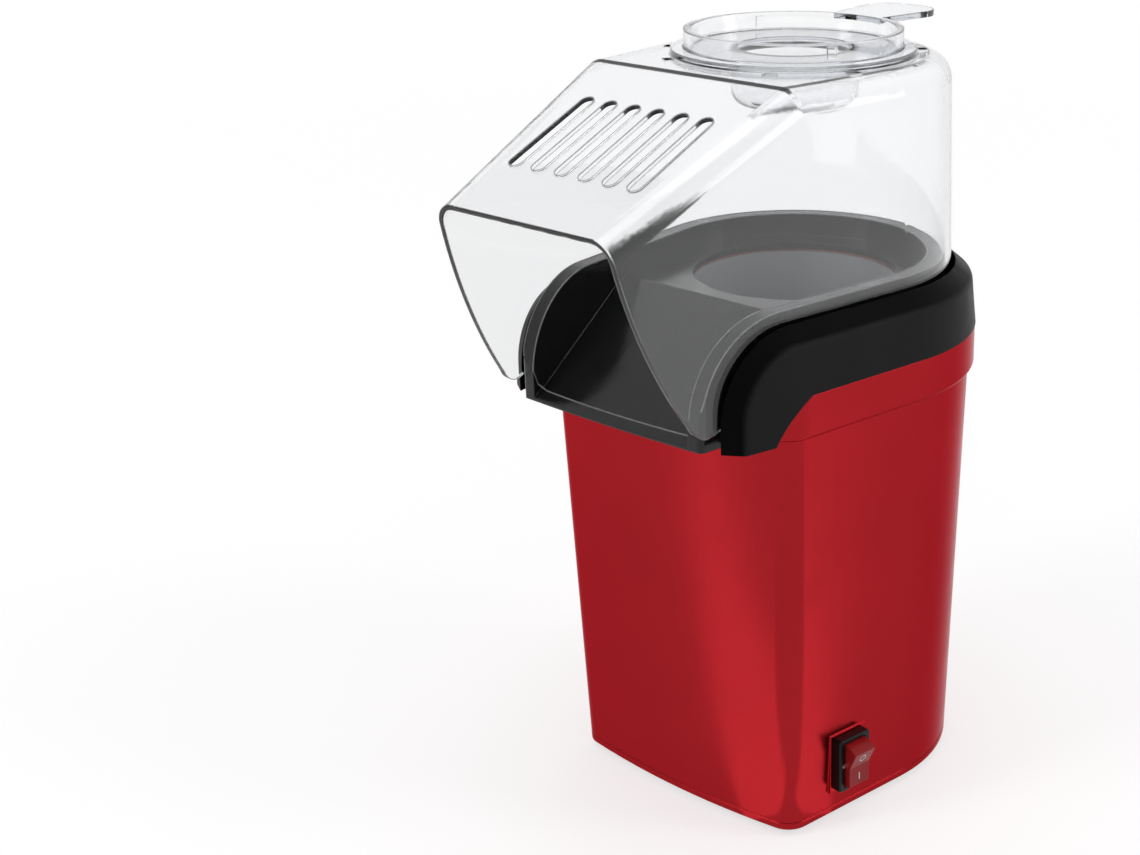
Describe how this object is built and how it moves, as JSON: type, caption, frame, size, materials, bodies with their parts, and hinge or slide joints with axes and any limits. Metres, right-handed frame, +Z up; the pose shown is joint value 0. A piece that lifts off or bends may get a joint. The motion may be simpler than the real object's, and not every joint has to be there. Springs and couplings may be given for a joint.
{
  "type": "hot-air popcorn maker",
  "caption": "Hot-air popcorn maker with a tapered red body, black collar, clear lift-off hood over an open chute, measuring cup in the top and a rocker switch on the side.",
  "frame": {"origin": "on the floor, under the middle of the whole object's outline seen from above", "axes": "+Z up, -Y the way the chute opens, +X the side with the rocker switch"},
  "size_m": [0.1346, 0.2046, 0.2781],
  "materials": {
    "red_shell": "gloss metallic",
    "black_collar": "satin",
    "dark_chute": "gloss",
    "clear_plastic": "clear",
    "chamber_metal": "satin",
    "seal": "matte",
    "duct_metal": "galvanised",
    "mica": "matte",
    "heater_wire": "drawn",
    "control_black": "satin",
    "fuse_metal": "satin",
    "fan_plastic": "satin",
    "steel": "satin",
    "bronze": "satin",
    "magnet": "matte",
    "board": "satin",
    "diode": "satin",
    "foot_rubber": "matte",
    "rocker_red": "gloss"
  },
  "bodies": {
    "base": {"outer_housing": "red_shell", "upper_band": "red_shell", "collar": "black_collar", "chute_tray": "dark_chute", "popping_chamber": "chamber_metal", "chamber_seal": "seal", "heater_casing": "duct_metal", "heater_frame": "mica", "heater_coil": "heater_wire", "thermostat": "control_black", "motor_end_cap": "control_black", "fan_housing": "control_black", "base_plate": "control_black", "switch_frame": "control_black", "cord_gland": "control_black", "thermal_fuse": "fuse_metal", "motor_can": "steel", "switch_pin": "steel", "base_screws": "steel", "band_screws": "steel", "collar_screws": "steel", "chute_screws": "steel", "chamber_screws": "steel", "duct_screws": "steel", "motor_screws": "steel", "motor_bushes": "bronze", "motor_terminals": "bronze", "switch_terminals": "bronze", "motor_magnets": "magnet", "rectifier_board": "board", "rectifier_diodes": "diode", "rubber_feet": "foot_rubber"},
    "hood": {"hood": "clear_plastic"},
    "cup": {"measuring_cup": "clear_plastic"},
    "rotor": {"fan_impeller": "fan_plastic", "motor_shaft": "steel", "motor_armature": "steel"},
    "rocker": {"switch_rocker": "rocker_red"}
  },
  "joints": [
    {"name": "hood_lift", "type": "slide", "parent": "base", "child": "hood", "axis": [0, 0, 1], "range_m": [0, 0.1]},
    {"name": "cup_lift", "type": "slide", "parent": "hood", "child": "cup", "axis": [0, 0, 1], "range_m": [0, 0.05]},
    {"name": "fan_spin", "type": "hinge", "parent": "base", "child": "rotor", "pos_m": [0, 0.0303, 0.06], "axis": [0, 0, 1], "continuous": true},
    {"name": "switch_rock", "type": "hinge", "parent": "base", "child": "rocker", "pos_m": [0.06033, -0.0079, 0.024], "axis": [0.134, 0.991, 0], "range_deg": [-24, 0]}
  ]
}
